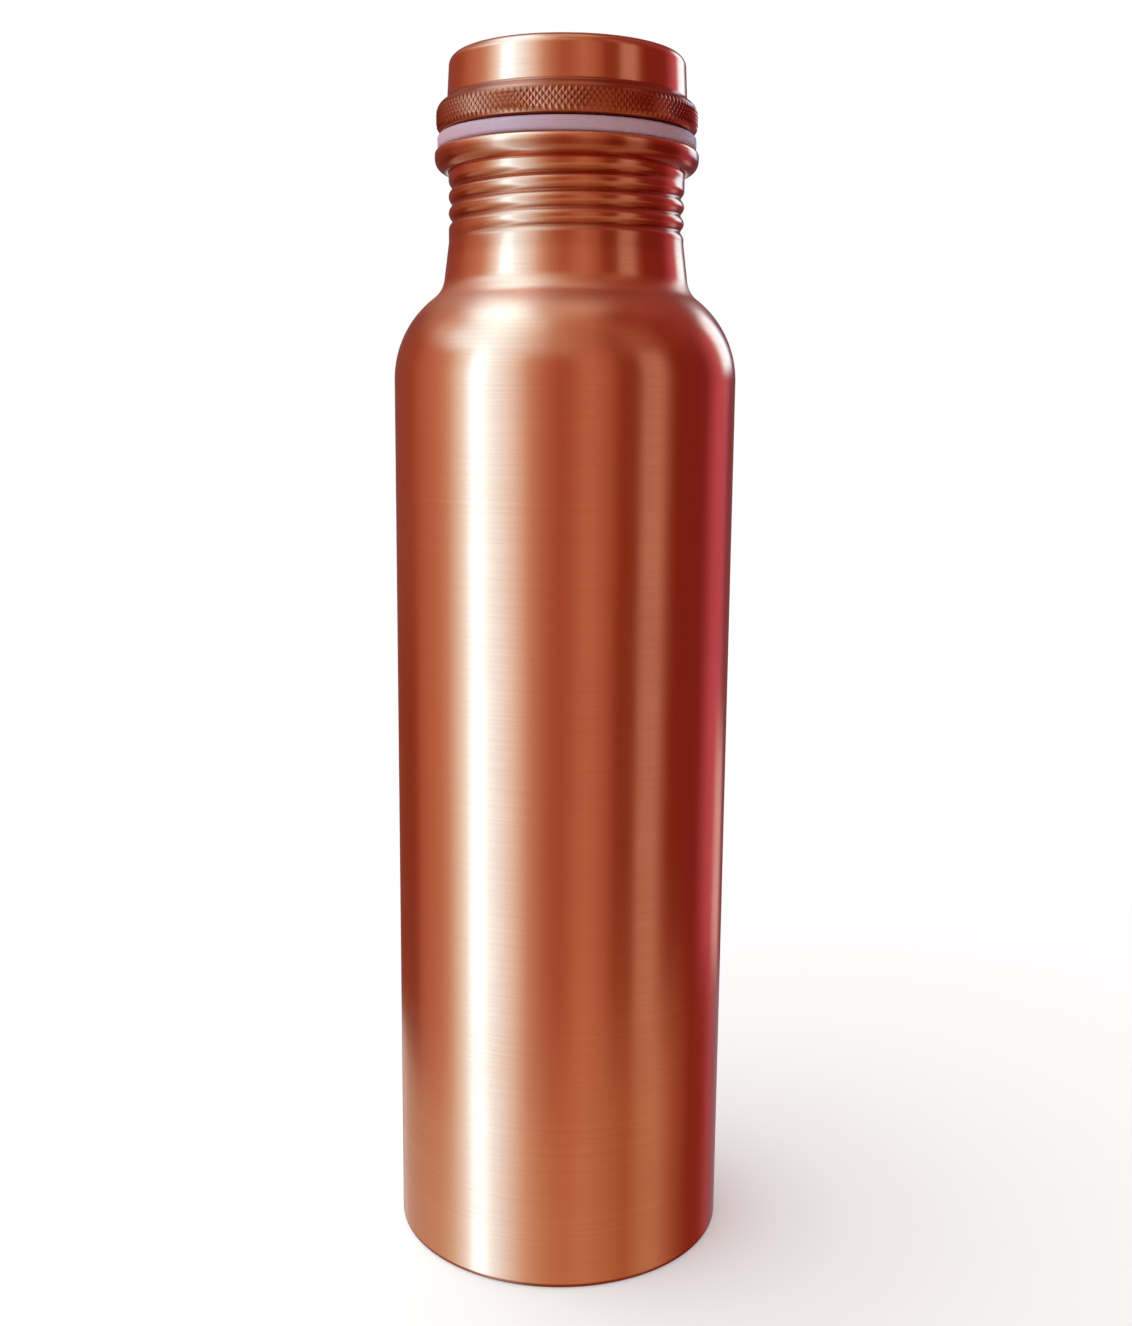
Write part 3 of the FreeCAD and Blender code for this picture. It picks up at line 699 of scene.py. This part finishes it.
level_band = lamp_band((
    (-180, 0.090, 0.120, 0.120),
    (-170, 0.020, 0.008, 0.008),
    (-142, 0.030, 0.008, 0.006),
    (-122, 0.036, 0.011, 0.006),
    (-110, 0.048, 0.024, 0.018),
    (-92, 0.059, 0.038, 0.030),
    (-83, 0.068, 0.064, 0.058),
    (-74, 0.094, 0.148, 0.185),
    (-67, 0.112, 0.230, 0.360),
    (-63, 0.165, 0.420, 0.730),
    (-56, 0.165, 0.420, 0.730),
    (-51, 0.120, 0.290, 0.480),
    (-42, 0.108, 0.225, 0.350),
    (-33, 0.094, 0.150, 0.195),
    (-23, 0.065, 0.058, 0.052),
    (-12, 0.050, 0.026, 0.019),
    (-2, 0.041, 0.016, 0.011),
    (4, 0.047, 0.022, 0.015),
    (16, 0.058, 0.038, 0.031),
    (30, 0.045, 0.022, 0.017),
    (37, 0.027, 0.007, 0.004),
    (49, 0.027, 0.008, 0.004),
    (54, 0.057, 0.045, 0.044),
    (66, 0.059, 0.047, 0.047),
    (73, 0.033, 0.012, 0.010),
    (79, 0.023, 0.004, 0.003),
    (107, 0.024, 0.004, 0.004),
    (122, 0.058, 0.016, 0.028),
    (136, 0.058, 0.016, 0.028),
    (146, 0.024, 0.006, 0.008),
    (170, 0.020, 0.008, 0.008),
    (180, 0.090, 0.120, 0.120),
))
table_band = lamp_band((
    (-180, 0.060, 0.060, 0.055),
    (-170, 0.045, 0.036, 0.034),
    (-154, 0.068, 0.064, 0.058),
    (-140, 0.060, 0.055, 0.047),
    (-120, 0.062, 0.056, 0.050),
    (-96, 0.069, 0.070, 0.063),
    (-83, 0.078, 0.100, 0.103),
    (-74, 0.094, 0.160, 0.210),
    (-67, 0.110, 0.220, 0.350),
    (-62, 0.160, 0.400, 0.690),
    (-55, 0.160, 0.400, 0.690),
    (-50, 0.118, 0.270, 0.440),
    (-42, 0.102, 0.205, 0.320),
    (-33, 0.090, 0.140, 0.180),
    (-23, 0.073, 0.082, 0.078),
    (-8, 0.063, 0.050, 0.039),
    (4, 0.060, 0.042, 0.031),
    (18, 0.064, 0.049, 0.038),
    (34, 0.056, 0.039, 0.027),
    (49, 0.047, 0.026, 0.016),
    (62, 0.058, 0.046, 0.035),
    (72, 0.060, 0.048, 0.039),
    (86, 0.044, 0.023, 0.016),
    (104, 0.027, 0.006, 0.004),
    (122, 0.028, 0.005, 0.004),
    (136, 0.044, 0.012, 0.016),
    (150, 0.030, 0.016, 0.024),
    (170, 0.040, 0.030, 0.028),
    (180, 0.060, 0.060, 0.055),
))
upper_band = lamp_band((
    (-180, 0.060, 0.060, 0.055),
    (-172, 0.028, 0.012, 0.010),
    (-125, 0.055, 0.038, 0.032),
    (-102, 0.080, 0.105, 0.130),
    (-82, 0.112, 0.260, 0.430),
    (-62, 0.130, 0.330, 0.560),
    (-42, 0.110, 0.240, 0.380),
    (-26, 0.085, 0.130, 0.165),
    (-10, 0.058, 0.050, 0.045),
    (20, 0.050, 0.030, 0.024),
    (36, 0.034, 0.013, 0.010),
    (56, 0.042, 0.022, 0.018),
    (70, 0.036, 0.015, 0.012),
    (84, 0.026, 0.006, 0.005),
    (128, 0.034, 0.010, 0.012),
    (150, 0.025, 0.007, 0.007),
    (172, 0.024, 0.009, 0.008),
    (180, 0.060, 0.060, 0.055),
))
overhead_band = lamp_band((
    (-180, 0.020, 0.008, 0.006),
    (-162, 0.032, 0.018, 0.014),
    (-140, 0.095, 0.170, 0.240),
    (-95, 0.165, 0.400, 0.660),
    (-70, 0.160, 0.390, 0.640),
    (-50, 0.122, 0.280, 0.440),
    (-30, 0.094, 0.155, 0.200),
    (-12, 0.062, 0.060, 0.060),
    (4, 0.055, 0.038, 0.032),
    (24, 0.054, 0.035, 0.029),
    (44, 0.040, 0.018, 0.014),
    (64, 0.030, 0.009, 0.007),
    (110, 0.037, 0.014, 0.013),
    (150, 0.030, 0.010, 0.009),
    (180, 0.020, 0.008, 0.006),
))
ZENITH = (0.068, 0.070, 0.074)
NADIR = (0.034, 0.016, 0.010)
CARD = (0.130, 0.230, 0.310)
LOW_CARD = (0.080, 0.062, 0.068)
LEFT_GAP = (0.026, 0.006, 0.003)
CARD_PATCH = ((128.0, 136.0, 149.0, 156.0), (2.0, 8.0, 24.0, 32.0))
LOW_CARD_PATCH = ((131.0, 137.0, 146.0, 154.0), (-24.0, -21.0, -15.0, -11.0))
LEFT_GAP_PATCH = ((-170.0, -150.0, -128.0, -112.0), (-45.0, -30.0, -14.0, -4.0))
NADIR_FADE = (-80.0, -55.0)
TABLE_FADE = (-26.0, -24.0)
UPPER_FADE = (18.0, 34.0)
OVERHEAD_FADE = (42.0, 60.0)
ZENITH_FADE = (66.0, 82.0)
EDGE_LIFT_RIGHT = 0.45
EDGE_LIFT_BACK = 0.35
CEILING_LIFT_BACK = 2.5
BRIGHTNESS = 10.0

# The table's edge and the ceiling aren't level: both lie lower at the front than at the back.
edge_lift = lamp_math("ADD", lamp_math("MULTIPLY", xyz.outputs["X"], EDGE_LIFT_RIGHT),
                      lamp_math("MULTIPLY", xyz.outputs["Y"], EDGE_LIFT_BACK))
from_edge = lamp_math("SUBTRACT", elevation, edge_lift)
ceiling = lamp_math("SUBTRACT", elevation,
                    lamp_math("MULTIPLY", xyz.outputs["Y"], CEILING_LIFT_BACK))


def lamp_patch(azimuths, elevations):
    """A soft-edged patch of the dome: each four limits run from out, in, in to out again."""
    sides = lamp_math("MULTIPLY", lamp_fade(azimuth, azimuths[0], azimuths[1]),
                      lamp_fade(azimuth, azimuths[3], azimuths[2]))
    ends = lamp_math("MULTIPLY", lamp_fade(elevation, elevations[0], elevations[1]),
                     lamp_fade(elevation, elevations[3], elevations[2]))
    return lamp_math("MULTIPLY", sides, ends)


lamp_colour = lamp_blend(lamp_patch(*LEFT_GAP_PATCH), level_band, LEFT_GAP)
lamp_colour = lamp_blend(lamp_patch(*LOW_CARD_PATCH), lamp_colour, LOW_CARD)
near_table = lamp_blend(lamp_fade(elevation, *NADIR_FADE), NADIR, table_band)
lamp_colour = lamp_blend(lamp_fade(from_edge, *TABLE_FADE), near_table, lamp_colour)
lamp_colour = lamp_blend(lamp_fade(elevation, *UPPER_FADE), lamp_colour, upper_band)
lamp_colour = lamp_blend(lamp_fade(elevation, *OVERHEAD_FADE), lamp_colour, overhead_band)
lamp_colour = lamp_blend(lamp_fade(ceiling, *ZENITH_FADE), lamp_colour, ZENITH)
lamp_colour = lamp_blend(lamp_patch(*CARD_PATCH), lamp_colour, CARD)
brighten = lamp_nodes.new("ShaderNodeVectorMath")
brighten.operation = "SCALE"
brighten.inputs["Scale"].default_value = BRIGHTNESS
lamp_links.new(lamp_colour, brighten.inputs[0])
lamp_links.new(brighten.outputs["Vector"], glow.inputs["Color"])
dome_data.materials.append(lamps)

# ------------------------------------------------------------------ camera
# It stands a little lower than the shoulder, close to the bottle and square to it, and looks
# slightly down at the bottle's middle, so the wall's sides draw in towards the foot.
CAMERA_TILT = 0.1702
CAMERA_ROLL = 0.0082
CAMERA_PLACE = (0.00072, -0.3382, 0.1908)
CAMERA_LENS = 40.76
CAMERA_SENSOR = 36.0
CAMERA_NEAREST = 0.01
CAMERA_FURTHEST = 100.0
camera_data = bpy.data.cameras.new("camera")
camera_data.lens = CAMERA_LENS
camera_data.sensor_width = CAMERA_SENSOR
camera_data.sensor_fit = "AUTO"
camera_data.clip_start = CAMERA_NEAREST
camera_data.clip_end = CAMERA_FURTHEST
camera = bpy.data.objects.new("camera", camera_data)
bpy.context.scene.collection.objects.link(camera)
right = Vector((math.cos(CAMERA_ROLL), math.sin(CAMERA_TILT) * math.sin(CAMERA_ROLL),
                math.cos(CAMERA_TILT) * math.sin(CAMERA_ROLL)))
back = Vector((0.0, -math.cos(CAMERA_TILT), math.sin(CAMERA_TILT)))
up = back.cross(right)
camera.matrix_world = Matrix((
    (right.x, up.x, back.x, CAMERA_PLACE[0]),
    (right.y, up.y, back.y, CAMERA_PLACE[1]),
    (right.z, up.z, back.z, CAMERA_PLACE[2]),
    (0.0, 0.0, 0.0, 1.0),
))
bpy.context.scene.camera = camera
bpy.context.scene.view_settings.view_transform = "Standard"
